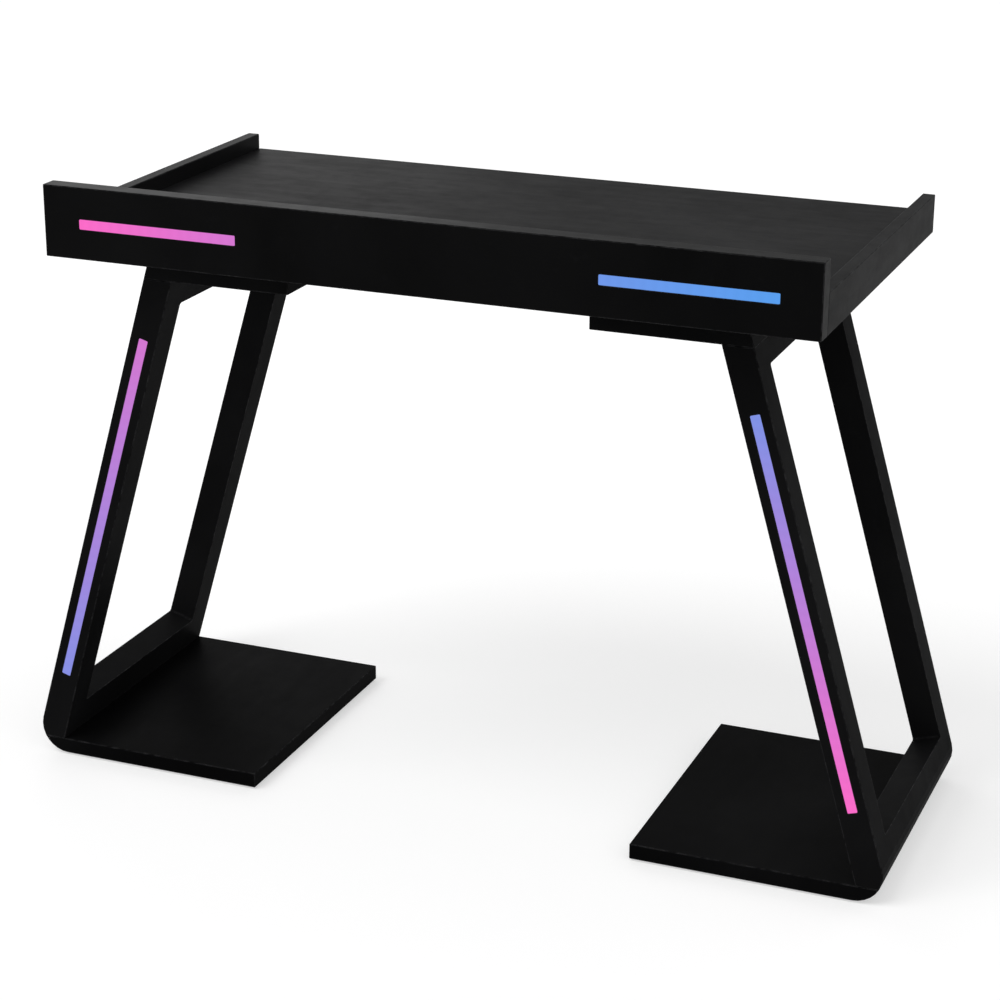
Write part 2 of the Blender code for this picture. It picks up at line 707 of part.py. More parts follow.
def build_tape(name, length, frame):
    """The light tape on the channel's bed, with its row of chips."""
    back = CHANNEL_BED - GAP
    front = back - TAPE_THICK
    reach = length / 2 - COVER_END_WALL - TAPE_END_SPACE
    half = TAPE_WIDTH / 2
    shape = bmesh.new()
    add_box(shape, (-reach, front, -half), (reach, back, half))
    tape = make_object(name, shape, "tape_white", frame)
    chips = bmesh.new()
    count = int((2 * reach - 2 * CHIP_SIZE) / CHIP_PITCH) + 1
    row = (count - 1) * CHIP_PITCH / 2
    for x in spread(count, -row, row):
        add_box(chips, (x - CHIP_SIZE / 2, front - CHIP_HEIGHT, -CHIP_SIZE / 2),
                (x + CHIP_SIZE / 2, front + TAPE_THICK / 2, CHIP_SIZE / 2))
    join(tape, chips, "chips")


def build_light_bar(label, length, frame):
    build_cover("led_cover_" + label, length, frame)
    build_channel("led_channel_" + label, length, frame)
    build_tape("led_tape_" + label, length, frame)


# Screws that hold the legs and plates

def build_foot_screws(side, label):
    """Screws that come up through the base plate into the foot of the leg frame."""
    length = BASE_THICK - COUNTERBORE_DEPTH + SCREW_GRIP
    for number, (x, y) in enumerate(foot_screws(side), 1):
        build_screw(f"foot_screw_{label}_{number}",
                    upright(x, y, BASE_BOTTOM_Z + COUNTERBORE_DEPTH - GAP), length)


def build_head_screws(side, label):
    """Screws that go down through the top plate into the head of the leg frame."""
    length = TOP_PLATE_THICK - COUNTERBORE_DEPTH + SCREW_GRIP
    for number, (x, y) in enumerate(head_screws(side), 1):
        build_screw(f"head_screw_{label}_{number}",
                    downward(x, y, TOP_PLATE_TOP_Z - COUNTERBORE_DEPTH + GAP), length)


def build_worktop_screws(side, label):
    """Screws that come up through the top plate into the worktop."""
    length = TOP_PLATE_THICK - COUNTERBORE_DEPTH + WORKTOP_SCREW_GRIP
    for number, (x, y) in enumerate(worktop_screws(side), 1):
        build_screw(f"worktop_screw_{label}_{number}",
                    upright(x, y, TOP_PLATE_BOTTOM_Z + COUNTERBORE_DEPTH - GAP), length)


# The light controller

def case_outline(inset):
    """The case's plan, drawn in by an inset."""
    half = CASE_LENGTH / 2 - inset
    return rounded_outline((-half, CASE_FRONT_Y + inset), (half, CASE_BACK_Y - inset),
                           CASE_CORNER - inset)


def build_controller_case():
    """A shell that is open below, with an ear at each end and holes in its back wall."""
    shape = bmesh.new()
    add_prism(shape, case_outline(0), CASE_RIM_Z, CASE_TOP_Z)
    case = make_object("controller_case", shape, "case_plastic")

    ears = bmesh.new()
    reach = CASE_LENGTH / 2 + EAR_LENGTH
    outline = rounded_outline((-reach, CASE_MIDDLE_Y - EAR_WIDTH / 2),
                              (reach, CASE_MIDDLE_Y + EAR_WIDTH / 2), CASE_CORNER)
    add_prism(ears, outline, CASE_TOP_Z - EAR_THICK, CASE_TOP_Z)
    join(case, ears, "ears")

    hollow = bmesh.new()
    add_prism(hollow, case_outline(CASE_WALL), CASE_RIM_Z - CASE_WALL, CASE_TOP_Z - CASE_WALL)
    cut(case, hollow, "hollow")

    stakes = bmesh.new()
    pin_end = BOARD_TOP_Z - BOARD_THICK - STAKE_PIN_PROUD
    profile = [(0, pin_end), (STAKE_PIN_RADIUS, pin_end), (STAKE_PIN_RADIUS, BOARD_TOP_Z + GAP),
               (STAKE_POST_RADIUS, BOARD_TOP_Z + GAP),
               (STAKE_POST_RADIUS, CASE_TOP_Z - CASE_WALL / 2), (0, CASE_TOP_Z - CASE_WALL / 2)]
    for x, y in stake_places():
        add_turned(stakes, profile, SCREW_SIDES, upright(x, y, 0))
    join(case, stakes, "stakes")

    holes = bmesh.new()
    for x, radius in ((POWER_BUTTON_X, BUTTON_RADIUS + BUTTON_SLACK),
                      (MODE_BUTTON_X, BUTTON_RADIUS + BUTTON_SLACK),
                      (INLET_X, INLET_RADIUS + GAP)):
        add_cylinder(holes, radius, -2 * CASE_WALL, CASE_WALL, BUTTON_SIDES,
                     back_wall_frame(x))
    for x, y in ear_places():
        add_cylinder(holes, CASE_SCREW_RADIUS + GAP, CASE_TOP_Z - 2 * EAR_THICK,
                     CASE_TOP_Z + EAR_THICK, SCREW_SIDES, upright(x, y, 0))
    cut(case, holes, "holes")


def build_controller_lid():
    """The lid under the case, with a lip that snaps inside the walls."""
    shape = bmesh.new()
    add_prism(shape, case_outline(0), CASE_BOTTOM_Z, CASE_BOTTOM_Z + LID_THICK)
    lid = make_object("controller_lid", shape, "case_plastic")
    lip_top = CASE_RIM_Z + LID_LIP_HEIGHT
    lip = bmesh.new()
    add_prism(lip, case_outline(CASE_WALL + GAP), CASE_BOTTOM_Z + LID_THICK / 2, lip_top)
    join(lid, lip, "lip")
    room = bmesh.new()
    add_prism(room, case_outline(CASE_WALL + GAP + LID_LIP_THICK), CASE_BOTTOM_Z + LID_THICK,
              lip_top + LID_LIP_HEIGHT)
    cut(lid, room, "room")


def build_controller_board():
    """The circuit board with its two switches, driver chip and output terminals."""
    inside = CASE_LENGTH / 2 - CASE_WALL - BOARD_SIDE_SPACE
    back = CASE_BACK_Y - CASE_WALL - BOARD_BACK_SPACE
    front = CASE_FRONT_Y + CASE_WALL + BOARD_SIDE_SPACE
    low = BOARD_TOP_Z - BOARD_THICK
    shape = bmesh.new()
    add_box(shape, (-inside, front, low), (inside, back, BOARD_TOP_Z))
    circuit = make_object("controller_board", shape, "circuit_board")

    parts = bmesh.new()
    sunk = BOARD_TOP_Z - BOARD_THICK / 2
    switch_front = CASE_BACK_Y + button_stem_end() - BUTTON_TRAVEL - GAP
    for x in (POWER_BUTTON_X, MODE_BUTTON_X):
        add_box(parts, (x - SWITCH_SIZE / 2, switch_front - SWITCH_SIZE, sunk),
                (x + SWITCH_SIZE / 2, switch_front, BUTTON_Z + SWITCH_SIZE / 2))
    chip = TERMINAL_LENGTH / 2
    add_box(parts, (-chip, CASE_MIDDLE_Y - chip, sunk),
            (chip, CASE_MIDDLE_Y, BOARD_TOP_Z + DRIVER_CHIP_HEIGHT))
    for x in (-TERMINAL_LENGTH, TERMINAL_LENGTH):
        add_box(parts, (x - chip, front + GAP, sunk),
                (x + chip - GAP, front + chip, BOARD_TOP_Z + TERMINAL_HEIGHT))
    join(circuit, parts, "components")

    notches = bmesh.new()
    for x, y in stake_places():
        add_cylinder(notches, STAKE_PIN_RADIUS + GAP, low - BOARD_THICK,
                     BOARD_TOP_Z + BOARD_THICK, SCREW_SIDES, upright(x, y, 0))
    wide = INLET_RADIUS + 2 * GAP
    add_box(notches, (INLET_X - wide, CASE_BACK_Y - INLET_LENGTH - GAP, low - BOARD_THICK),
            (INLET_X + wide, CASE_BACK_Y, BOARD_TOP_Z + BOARD_THICK))
    cut(circuit, notches, "notches")


def back_wall_frame(x):
    """A frame on the case's back face, local Z pointing out to the rear."""
    return pointing((0, 1, 0), (x, CASE_BACK_Y, BUTTON_Z))


def button_stem_end():
    """How far in from the back face a button's stem reaches at rest."""
    return -CASE_WALL - GAP - BUTTON_FLANGE_THICK - BUTTON_STEM_LENGTH


def build_button(name, x):
    """A cap through the back wall, kept in by a flange, with a stem to its switch."""
    flange_top = -CASE_WALL - GAP
    flange_low = flange_top - BUTTON_FLANGE_THICK
    flange = BUTTON_RADIUS + BUTTON_FLANGE
    profile = [(0, button_stem_end()), (BUTTON_STEM_RADIUS, button_stem_end()),
               (BUTTON_STEM_RADIUS, flange_low), (flange, flange_low), (flange, flange_top),
               (BUTTON_RADIUS, flange_top), (BUTTON_RADIUS, BUTTON_PROUD - BUTTON_CROWN),
               (BUTTON_RADIUS - BUTTON_CROWN, BUTTON_PROUD), (0, BUTTON_PROUD)]
    shape = bmesh.new()
    add_turned(shape, profile, BUTTON_SIDES)
    make_object(name, shape, "button_rubber", back_wall_frame(x))


def build_inlet():
    """A round low-voltage socket with a centre pin; its mouth is flush with the case."""
    flange_top = -CASE_WALL - GAP
    flange_low = flange_top - INLET_FLANGE
    flange = INLET_RADIUS + INLET_FLANGE
    profile = [(0, -INLET_LENGTH), (INLET_RADIUS, -INLET_LENGTH), (INLET_RADIUS, flange_low),
               (flange, flange_low), (flange, flange_top), (INLET_RADIUS, flange_top),
               (INLET_RADIUS, 0), (INLET_BORE, 0), (INLET_BORE, -INLET_BORE_DEPTH),
               (INLET_PIN, -INLET_BORE_DEPTH), (INLET_PIN, -INLET_PIN_RECESS),
               (0, -INLET_PIN_RECESS)]
    shape = bmesh.new()
    add_turned(shape, profile, SCREW_SIDES)
    make_object("power_inlet", shape, "inlet_plastic", back_wall_frame(INLET_X))


def build_controller_screws():
    for number, (x, y) in enumerate(ear_places(), 1):
        build_case_screw(f"controller_screw_{number}",
                         upright(x, y, CASE_TOP_Z - EAR_THICK - GAP))


def build_table():
    build_fascia()
    build_worktop()
    for side, label in ((-1, "left"), (1, "right")):
        build_side_rail(side, "side_rail_" + label)
        build_leg_frame(side, "leg_frame_" + label)
        build_base_plate(side, "base_plate_" + label)
        build_top_plate(side, "top_plate_" + label)
        build_floor_strips(side, label)
        build_light_bar("fascia_" + label, FASCIA_BAR_LENGTH, bar_frame_on_fascia(side))
        build_light_bar("leg_" + label, LEG_BAR_LENGTH, bar_frame_on_leg(side))
        build_foot_screws(side, label)
        build_head_screws(side, label)
        build_worktop_screws(side, label)
    build_controller_case()
    build_controller_lid()
    build_controller_board()
    build_button("power_button", POWER_BUTTON_X)
    build_button("mode_button", MODE_BUTTON_X)
    build_inlet()
    build_controller_screws()


clear_scene()
build_table()
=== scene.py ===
"""Looks for the DJ table: materials for every piece, a plain white stage, lights and a camera."""

import math

import bpy
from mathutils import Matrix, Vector


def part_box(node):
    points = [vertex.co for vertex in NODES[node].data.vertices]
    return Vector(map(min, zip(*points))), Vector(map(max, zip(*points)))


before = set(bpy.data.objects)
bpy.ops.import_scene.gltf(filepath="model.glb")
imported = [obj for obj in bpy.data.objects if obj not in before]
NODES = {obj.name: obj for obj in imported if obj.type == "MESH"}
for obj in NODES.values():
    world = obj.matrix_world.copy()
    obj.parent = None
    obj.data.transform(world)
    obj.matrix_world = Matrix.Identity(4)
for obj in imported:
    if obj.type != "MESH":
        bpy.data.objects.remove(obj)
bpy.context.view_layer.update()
WHITE = (1.0, 1.0, 1.0, 1.0)
BLACK = (0.0, 0.0, 0.0, 1.0)


# Node graphs

# Places of the colour sockets in a Mix node, which has several sockets of each name
MIX_FACTOR, MIX_FIRST, MIX_SECOND, MIX_RESULT = 0, 6, 7, 2


class Graph:
    """A short way to write the nodes of a material or of the world."""

    def __init__(self, owner, output):
        self.owner = owner
        owner.use_nodes = True
        self.tree = owner.node_tree
        self.tree.nodes.clear()
        self.output = self.add(output)

    def add(self, kind, **settings):
        node = self.tree.nodes.new(kind)
        for key, value in settings.items():
            setattr(node, key, value)
        return node

    def put(self, node, name, value):
        """Set a socket to a value, or link it where the value is another node's socket."""
        socket = node.inputs[name]
        if isinstance(value, bpy.types.NodeSocket):
            self.tree.links.new(value, socket)
        else:
            socket.default_value = value

    def show(self, shader):
        self.put(self.output, "Surface", shader.outputs[0])

    def math(self, operation, first, second=None):
        node = self.add("ShaderNodeMath", operation=operation)
        self.put(node, 0, first)
        if second is not None:
            self.put(node, 1, second)
        return node.outputs[0]

    def ramp(self, value, low, high, to_low=0.0, to_high=1.0, shape="LINEAR"):
        """The value taken from the range low to high into the range to_low to to_high."""
        node = self.add("ShaderNodeMapRange", interpolation_type=shape)
        for name, what in (("Value", value), ("From Min", low), ("From Max", high),
                           ("To Min", to_low), ("To Max", to_high)):
            self.put(node, name, what)
        return node.outputs["Result"]

    def seen(self):
        """1 for what the camera sees, also in gloss and through glass, and 0 for other light."""
        path = self.add("ShaderNodeLightPath").outputs
        direct = self.math("MAXIMUM", path["Is Camera Ray"], path["Is Glossy Ray"])
        return self.math("MAXIMUM", direct, path["Is Transmission Ray"])


class Finish(Graph):
    """The nodes of a new material, with the patterns that the finishes share."""

    def __init__(self, name):
        super().__init__(bpy.data.materials.new(name), "ShaderNodeOutputMaterial")
        self.coords = self.add("ShaderNodeTexCoord").outputs["Object"]

    def axis(self, name, vector=None):
        node = self.add("ShaderNodeSeparateXYZ")
        self.put(node, 0, vector or self.coords)
        return node.outputs[name]

    def stretch(self, lengths, lean=0.0, middle=(0.0, 0.0, 0.0)):
        """Coordinates from middle, leaning about Y, that draw a texture out by these lengths."""
        node = self.add("ShaderNodeMapping", vector_type="TEXTURE")
        self.put(node, "Vector", self.coords)
        self.put(node, "Location", middle)
        self.put(node, "Rotation", (0.0, lean, 0.0))
        self.put(node, "Scale", lengths)
        return node.outputs[0]

    def noise(self, scale, detail, rough, vector=None, distortion=0.0):
        node = self.add("ShaderNodeTexNoise")
        self.put(node, "Vector", vector or self.coords)
        self.put(node, "Scale", scale)
        self.put(node, "Detail", detail)
        self.put(node, "Roughness", rough)
        self.put(node, "Distortion", distortion)
        return node.outputs["Fac"]

    def mix(self, factor, first, second):
        node = self.add("ShaderNodeMix", data_type="RGBA")
        self.put(node, MIX_FACTOR, factor)
        self.put(node, MIX_FIRST, first)
        self.put(node, MIX_SECOND, second)
        return node.outputs[MIX_RESULT]

    def fade(self, value, stops):
        node = self.add("ShaderNodeValToRGB")
        elements = node.color_ramp.elements
        elements.remove(elements[-1])
        elements[0].position, elements[0].color = stops[0]
        for position, colour in stops[1:]:
            elements.new(position).color = colour
        self.put(node, "Fac", value)
        return node.outputs["Color"]

    def rounded(self, radius, samples=6):
        """Normals that round the edges by this radius."""
        node = self.add("ShaderNodeBevel", samples=samples)
        self.put(node, "Radius", radius)
        return node.outputs[0]

    def bump(self, height, distance, strength, radius=None):
        """Relief of this height, on edges that are rounded where a radius is given."""
        node = self.add("ShaderNodeBump")
        self.put(node, "Height", height)
        self.put(node, "Distance", distance)
        self.put(node, "Strength", strength)
        if radius is not None:
            self.put(node, "Normal", self.rounded(radius))
        return node.outputs[0]

    def edges(self, radius, spread):
        """1 along outside and inside edges, 0 on flat stretches."""
        geometry = self.add("ShaderNodeNewGeometry")
        node = self.add("ShaderNodeVectorMath", operation="DOT_PRODUCT")
        self.put(node, 0, self.rounded(radius, samples=8))
        self.put(node, 1, geometry.outputs["True Normal"])
        return self.ramp(node.outputs["Value"], 1.0 - spread, 1.0, 1.0, 0.0, "SMOOTHSTEP")

    def surface(self, **inputs):
        """The finished material; an input's name has _ where its socket's has a space."""
        shader = self.add("ShaderNodeBsdfPrincipled")
        for name, value in inputs.items():
            self.put(shader, name.replace("_", " "), value)
        self.show(shader)
        return self.owner


def dress(material, *names):
    for name in names:
        mesh = NODES[name].data
        mesh.materials.clear()
        mesh.materials.append(material)


def both(name):
    return [name + "_left", name + "_right"]


def tint(base, factors=(1.0, 1.0, 1.0)):
    """The base colour, opaque, with each part times its factor."""
    return (*(part * factor for part, factor in zip(base, factors)), 1.0)


# Black lacquered board

DARK_CLOUD = (0.6, 0.6, 0.6)
PALE_CLOUD = (1.3, 1.3, 1.3)
DUST = (2.2, 2.2, 2.3)
# Colour of the paler edges: partly real wear, partly a painted highlight where rounded edges
# would catch light
WORN_AND_HIGHLIT_EDGE = (0.080, 0.080, 0.083, 1.0)
MOST_WEAR_AND_HIGHLIGHT = 0.9
EDGE_REACH = 0.0016
EDGE_RADIUS = 0.0010
PEEL_DEPTH = 0.00012


def lacquer(name, base, gloss, rough, wipe):
    """Satin black lacquer: cloudy sheen, orange peel, faint wipe marks, and paler edges that are
    partly wear and partly painted highlight.
    """
    graph = Finish(name)
    cloudy = graph.noise(scale=3.1, detail=4.0, rough=0.55, distortion=0.4)
    dusty = graph.noise(scale=38.0, detail=5.0, rough=0.65)
    peel = graph.noise(scale=620.0, detail=2.0, rough=0.5)
    wipes = graph.noise(scale=9.0, detail=2.5, rough=0.5, vector=graph.stretch(wipe),
                        distortion=0.6)
    broken = graph.ramp(graph.noise(scale=85.0, detail=4.0, rough=0.7), 0.38, 0.68)
    # Paler edges, broken up: partly wear and partly painted highlight along the edges
    wear_and_highlight = graph.math("MULTIPLY", graph.edges(EDGE_REACH, spread=0.06), broken)
    wear_and_highlight = graph.math("MULTIPLY", wear_and_highlight, MOST_WEAR_AND_HIGHLIGHT)

    colour = graph.mix(graph.ramp(cloudy, 0.3, 0.7), tint(base, DARK_CLOUD),
                       tint(base, PALE_CLOUD))
    colour = graph.mix(graph.ramp(dusty, 0.62, 0.82, 0.0, 0.30), colour, tint(base, DUST))
    colour = graph.mix(wear_and_highlight, colour, WORN_AND_HIGHLIT_EDGE)

    roughness = graph.ramp(wipes, 0.3, 0.7, rough * 0.95, rough * 1.06)
    roughness = graph.math("ADD", roughness, graph.ramp(dusty, 0.45, 0.8, 0.0, 0.05))
    roughness = graph.math("MULTIPLY", roughness, graph.ramp(cloudy, 0.25, 0.75, 1.042, 0.958))
    return graph.surface(Base_Color=colour, Roughness=roughness, Specular_IOR_Level=gloss,
                         Normal=graph.bump(peel, PEEL_DEPTH, 0.35, EDGE_RADIUS))


# Wipe marks are five times as long along one axis as across it.
ALONG_X = (1.0, 0.2, 0.2)
ALONG_Y = (0.2, 1.0, 0.2)
ALONG_Z = (0.2, 0.2, 1.0)

# Colour, specular level, roughness, wipe marks and pieces of each lacquer. The colours are
# painted light and shade: one black lacquer made lighter or darker piece by piece for how light
# falls on it.
LACQUERS = {
    "fascia": ((0.0052, 0.0052, 0.0054), 0.0138, 0.38, ALONG_X, ["fascia_panel"]),
    "worktop": ((0.0090, 0.0090, 0.0094), 0.0102, 0.46, ALONG_X, ["worktop"]),
    "rail": ((0.0080, 0.0080, 0.0084), 0.0102, 0.42, ALONG_Y, both("side_rail")),
    "leg": ((0.0072, 0.0072, 0.0075), 0.0042, 0.45, ALONG_Z, both("leg_frame")),
    "foot": ((0.0042, 0.0042, 0.0044), 0.0047, 0.46, ALONG_Y, both("base_plate")),
    "arm": ((0.0072, 0.0072, 0.0075), 0.0042, 0.45, ALONG_Y, both("top_plate")),
}
for label, (base, gloss, rough, wipe, pieces) in LACQUERS.items():
    dress(lacquer(label + "_lacquer", base, gloss, rough, wipe), *pieces)


# Light bars. Their light fades from pink to sky blue, given as display values from 0 to 255.

PINK = (252, 105, 200)
SKY = (86, 157, 238)
FADE_STEPS = 8
CELLS_PER_METRE = 60
COVER_GREY = (0.005, 0.005, 0.005, 1.0)
LEG_LEAN = math.radians(16.3)
CHIP_PITCH = 1 / 30
CHIP_HEIGHT = 0.0015
PAD_LENGTH = 0.0022
PAD_WIDTH = 0.0018
PAD_OFF_CENTRE = 0.0013


def linear(value):
    """A display value as linear light."""
    value /= 255
    return value / 12.92 if value <= 0.04045 else ((value + 0.055) / 1.055) ** 2.4


def fade_stops():
    """Stops of a fade that is even in display values."""
    stops = []
    for step in range(FADE_STEPS + 1):
        share = step / FADE_STEPS
        colour = [linear(pink + (sky - pink) * share) for pink, sky in zip(PINK, SKY)]
        stops.append((share, (*colour, 1.0)))
    return stops


def lit_cover(name, along, low, high, first, last):
    """Opal cover lit from behind by a row of cells, from one share of the fade to another."""
    graph = Finish(name)
    place = graph.axis(along)
    share = graph.ramp(place, low, high, first, last)
    cells = graph.math("SINE", graph.math("MULTIPLY", place, 2 * math.pi * CELLS_PER_METRE))
    glow = graph.ramp(cells, -1.0, 1.0, 0.988, 1.012)
    haze = graph.ramp(graph.noise(scale=240.0, detail=2.0, rough=0.5), 0.3, 0.7, 0.995, 1.005)
    return graph.surface(Base_Color=COVER_GREY, Roughness=0.42, Specular_IOR_Level=0.05,
                         Emission_Color=graph.fade(share, fade_stops()),
                         Emission_Strength=graph.math("MULTIPLY", glow, haze),
                         Normal=graph.rounded(0.0006))


def aluminium(name, along, lean):
    """Drawn aluminium with fine lines along the channel."""
    graph = Finish(name)
    lengths = tuple(10 / 3 if axis == along else 1 / 30 for axis in "XYZ")
    drawn = graph.noise(scale=60.0, detail=3.0, rough=0.6, vector=graph.stretch(lengths, lean))
    colour = graph.mix(drawn, (0.50, 0.51, 0.53, 1.0), (0.66, 0.67, 0.69, 1.0))
    return graph.surface(Base_Color=colour, Metallic=1.0,
                         Roughness=graph.ramp(drawn, 0.3, 0.7, 0.28, 0.42),
                         Normal=graph.bump(drawn, 0.00003, 0.6, radius=0.0003))


def light_tape(name, along, lean, low, high):
    """White tape with pairs of copper pads between its chips, which have a milky face."""
    graph = Finish(name)
    place = graph.stretch((1.0, 1.0, 1.0), lean, (low + high) / 2)
    # The pads are half a pitch apart; each chip hides the pair under it.
    steps = graph.math("DIVIDE", graph.axis(along, place), CHIP_PITCH / 2)
    beside = graph.math("LESS_THAN", graph.math("PINGPONG", steps, 0.5), PAD_LENGTH / CHIP_PITCH)
    across = graph.math("ABSOLUTE", graph.axis("Z" if along == "X" else "X", place))
    off_pad = graph.math("ABSOLUTE", graph.math("SUBTRACT", across, PAD_OFF_CENTRE))
    pads = graph.math("MULTIPLY", beside, graph.math("LESS_THAN", off_pad, PAD_WIDTH / 2))
    depth = graph.axis("Y")
    chip_back = low.y + CHIP_HEIGHT
    chip = graph.ramp(depth, chip_back - 0.0003, chip_back - 0.0001, 1.0, 0.0)
    face = graph.ramp(depth, low.y + 0.0001, low.y + 0.0002, 1.0, 0.0)

    mottle = graph.noise(scale=900.0, detail=3.0, rough=0.5)
    colour = graph.mix(mottle, (0.70, 0.70, 0.68, 1.0), (0.80, 0.80, 0.78, 1.0))
    colour = graph.mix(pads, colour, (0.62, 0.36, 0.16, 1.0))
    colour = graph.mix(chip, colour, (0.84, 0.84, 0.82, 1.0))
    colour = graph.mix(face, colour, (0.74, 0.66, 0.36, 1.0))
    roughness = graph.math("SUBTRACT", graph.ramp(mottle, 0.3, 0.7, 0.40, 0.55),
                           graph.math("MULTIPLY", face, 0.22))
    return graph.surface(Base_Color=colour, Roughness=roughness,
                         Normal=graph.bump(mottle, 0.00004, 0.5, radius=0.0002))


# Length axis, lean, and the shares of the fade that each bar shows at its two ends: from left
# to right in the front board, and from below in the legs.
BARS = {
    "fascia_left": ("X", 0.0, 0.0, 0.24),
    "fascia_right": ("X", 0.0, 0.86, 1.0),
    "leg_left": ("Z", LEG_LEAN, 0.72, 0.24),
    "leg_right": ("Z", -LEG_LEAN, 0.0, 0.765),
}
for label, (along, lean, first, last) in BARS.items():
    cover = "led_cover_" + label
    low, high = (corner["XYZ".index(along)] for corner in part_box(cover))
    dress(lit_cover(cover + "_lit", along, low, high, first, last), cover)
    dress(aluminium("channel_" + label, along, lean), "led_channel_" + label)
    tape = "led_tape_" + label
    dress(light_tape("tape_" + label, along, lean, *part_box(tape)), tape)


# Hardware

BOARD_THICK = 0.0016
TRACK_GAP = 0.24


def zinc():
    """Zinc-plated steel, mottled, with bright edges."""
    graph = Finish("zinc_steel")
    mottle = graph.noise(scale=180.0, detail=4.0, rough=0.6)
    bright = graph.math("MULTIPLY", graph.edges(0.0004, spread=0.1), 0.5)
    colour = graph.mix(mottle, (0.38, 0.38, 0.40, 1.0), (0.58, 0.58, 0.58, 1.0))
    colour = graph.mix(bright, colour, (0.72, 0.72, 0.72, 1.0))
    return graph.surface(Base_Color=colour, Metallic=1.0,
                         Roughness=graph.ramp(mottle, 0.3, 0.7, 0.24, 0.42),
                         Normal=graph.bump(mottle, 0.00003, 0.5, radius=0.0003))


def rubber(name, base, grain):
    """Matt rubber with a fine grain and some dust."""
    graph = Finish(name)
    fine = graph.noise(scale=grain, detail=3.0, rough=0.6)
    dust = graph.ramp(graph.noise(scale=55.0, detail=4.0, rough=0.6), 0.5, 0.8, 0.0, 0.6)
    return graph.surface(Base_Color=graph.mix(dust, tint(base), tint(base, (2.0, 2.0, 1.9))),
                         Roughness=graph.ramp(fine, 0.3, 0.7, 0.72, 0.92),
                         Specular_IOR_Level=0.35,
                         Normal=graph.bump(fine, 0.00010, 0.5, radius=0.0004))


def moulded(name, base):
    """Black plastic with a spark-eroded grain and edges rubbed smoother."""
    graph = Finish(name)
    grain = graph.noise(scale=1500.0, detail=2.0, rough=0.6)
    handled = graph.ramp(graph.noise(scale=48.0, detail=3.0, rough=0.5), 0.3, 0.8)
    edge = graph.edges(0.0007, spread=0.1)
    colour = graph.mix(handled, tint(base), tint(base, (1.6, 1.6, 1.6)))
    colour = graph.mix(graph.math("MULTIPLY", edge, 0.35), colour, (0.06, 0.06, 0.062, 1.0))
    roughness = graph.math("SUBTRACT", graph.ramp(grain, 0.3, 0.7, 0.44, 0.60),
                           graph.math("MULTIPLY", edge, 0.12))
    return graph.surface(Base_Color=colour, Roughness=roughness, Specular_IOR_Level=0.4,
                         Normal=graph.bump(grain, 0.00008, 0.45, radius=0.0006))


def tracks(graph, vector, length, pitch):
    """Rows of printed tracks, 1 on a track and 0 beside it; some places have none."""
    node = graph.add("ShaderNodeTexBrick", offset=0.37, squash=0.6, squash_frequency=3)
    for name, value in (("Vector", vector), ("Scale", 1.0), ("Brick Width", length),
                        ("Row Height", pitch), ("Mortar Size", pitch * TRACK_GAP),
                        ("Color1", BLACK), ("Color2", WHITE), ("Mortar", BLACK)):
        graph.put(node, name, value)
    return graph.ramp(node.outputs["Color"], 0.45, 0.55)


def circuit():
    """Green board with printed tracks along and across it, and dark parts that stand on it."""
    graph = Finish("circuit_board")
    turned = graph.add("ShaderNodeCombineXYZ")
    graph.put(turned, "X", graph.axis("Y"))
    graph.put(turned, "Y", graph.axis("X"))
    along = tracks(graph, graph.coords, length=0.014, pitch=0.0016)
    across = tracks(graph, turned.outputs[0], length=0.009, pitch=0.0022)
    patch = graph.ramp(graph.noise(scale=70.0, detail=1.0, rough=0.4), 0.49, 0.50)
    printed = graph.math("ADD", graph.math("MULTIPLY", along, patch),
                         graph.math("MULTIPLY", across, graph.math("SUBTRACT", 1.0, patch)))
    mottle = graph.noise(scale=300.0, detail=3.0, rough=0.5)
    colour = graph.mix(mottle, (0.010, 0.085, 0.038, 1.0), (0.014, 0.11, 0.048, 1.0))
    colour = graph.mix(printed, colour, (0.034, 0.19, 0.085, 1.0))
    board_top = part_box("controller_board")[0].z + BOARD_THICK
    above = graph.ramp(graph.axis("Z"), board_top + 0.0002, board_top + 0.0004)
    colour = graph.mix(above, colour, (0.02, 0.02, 0.022, 1.0))
    return graph.surface(Base_Color=colour, Roughness=graph.ramp(mottle, 0.3, 0.7, 0.30, 0.46),
                         Normal=graph.bump(mottle, 0.00004, 0.4))


dress(zinc(), *(name for name in NODES if "_screw_" in name))
dress(rubber("strip_rubber", (0.018, 0.018, 0.019), 900.0),
      *(name for name in NODES if name.startswith("floor_strip")))
dress(rubber("button_rubber", (0.075, 0.075, 0.080), 1400.0), "power_button", "mode_button")
dress(moulded("case_plastic", (0.014, 0.014, 0.015)), "controller_case", "controller_lid")
dress(moulded("inlet_plastic", (0.020, 0.020, 0.021)), "power_inlet")
dress(circuit(), "controller_board")


# Stage: a pale floor that shows white and keeps a soft shadow, in white surroundings

FLOOR_REACH = 60.0
FLOOR_DROP = 0.0002
FLOOR_GREY = (0.62, 0.62, 0.62, 1.0)
FLOOR_GLOW = 0.50
WORLD_LIGHT = 0.55
WORLD_SEEN = 1.0


def add_object(name, data):
    """A new object in the scene."""
    thing = bpy.data.objects.new(name, data)
    bpy.context.scene.collection.objects.link(thing)
    return thing


def aim(thing, direction):
    """Turn a lamp so that it shines along a direction."""
    thing.rotation_euler = Vector(direction).to_track_quat("-Z", "Y").to_euler()


corners = [(x * FLOOR_REACH, y * FLOOR_REACH, 0) for x, y in ((-1, -1), (1, -1), (1, 1), (-1, 1))]
floor_mesh = bpy.data.meshes.new("floor")
floor_mesh.from_pydata(corners, [], [(0, 1, 2, 3)])
floor = add_object("floor", floor_mesh)
floor.location.z = -FLOOR_DROP

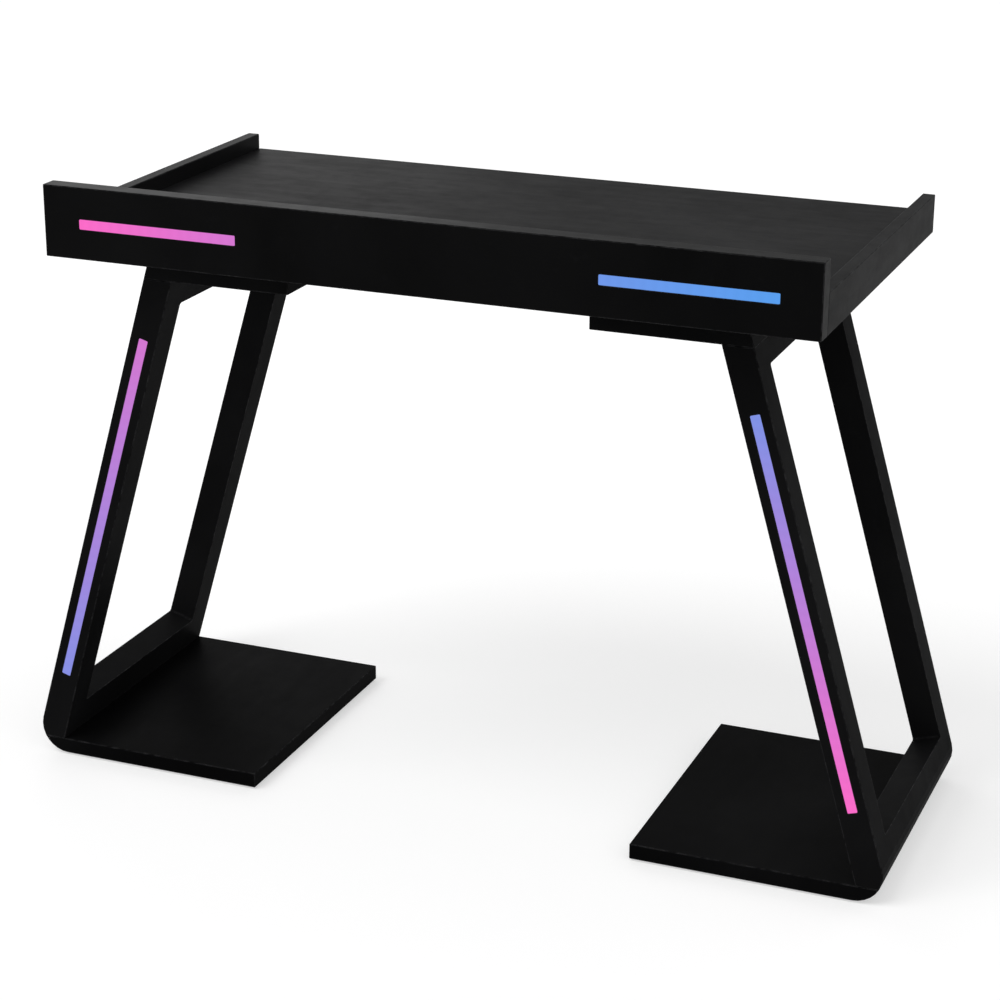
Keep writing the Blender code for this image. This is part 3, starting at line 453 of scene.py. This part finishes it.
graph = Finish("floor_white")
matt = graph.add("ShaderNodeBsdfDiffuse")
graph.put(matt, "Color", FLOOR_GREY)
glow = graph.add("ShaderNodeEmission")
graph.put(glow, "Color", WHITE)
graph.put(glow, "Strength", graph.math("MULTIPLY", graph.seen(), FLOOR_GLOW))
total = graph.add("ShaderNodeAddShader")
graph.put(total, 0, matt.outputs[0])
graph.put(total, 1, glow.outputs[0])
graph.show(total)
floor_mesh.materials.append(graph.owner)

bpy.context.scene.world = bpy.data.worlds.new("studio")
graph = Graph(bpy.context.scene.world, "ShaderNodeOutputWorld")
background = graph.add("ShaderNodeBackground")
graph.put(background, "Color", WHITE)
graph.put(background, "Strength", graph.ramp(graph.seen(), 0.0, 1.0, WORLD_LIGHT, WORLD_SEEN))
graph.show(background)


# Lamps

PANEL_POWER = 15.0
PANEL_WIDTH = 2.4
PANEL_HEIGHT = 1.4
PANEL_PLACE = Vector((-2.5, 2.8, 1.9))
PANEL_TARGET = Vector((-0.3, 0.1, 0.9))


def sun(name, power, spread, direction):
    """A broad lamp far away; spread is its width in degrees."""
    data = bpy.data.lights.new(name, "SUN")
    data.energy = power
    data.angle = math.radians(spread)
    aim(add_object(name, data), direction)


sun("key", 1.05, 35.0, (0.45, 0.55, -1.0))
sun("fill", 0.25, 60.0, (-0.8, 0.35, -0.7))

panel_data = bpy.data.lights.new("rear_panel", "AREA")
panel_data.shape = "RECTANGLE"
panel_data.size = PANEL_WIDTH
panel_data.size_y = PANEL_HEIGHT
panel_data.energy = PANEL_POWER
panel = add_object("rear_panel", panel_data)
panel.location = PANEL_PLACE
panel.visible_camera = False
aim(panel, PANEL_TARGET - PANEL_PLACE)


# Camera, at the photograph's angle

CAMERA_PLACE = (1.42009, -3.55991, 1.83273)
CAMERA_DEGREES = (70.2471, -0.3045, 21.8053)
CAMERA_LENS = 92.0036
SENSOR_WIDTH = 36.0
FARTHEST = 200.0

camera_data = bpy.data.cameras.new("camera")
camera_data.sensor_width = SENSOR_WIDTH
camera_data.lens = CAMERA_LENS
camera_data.clip_end = FARTHEST
camera = add_object("camera", camera_data)
camera.location = CAMERA_PLACE
camera.rotation_euler = [math.radians(angle) for angle in CAMERA_DEGREES]
bpy.context.scene.camera = camera

bpy.context.scene.view_settings.view_transform = "Standard"
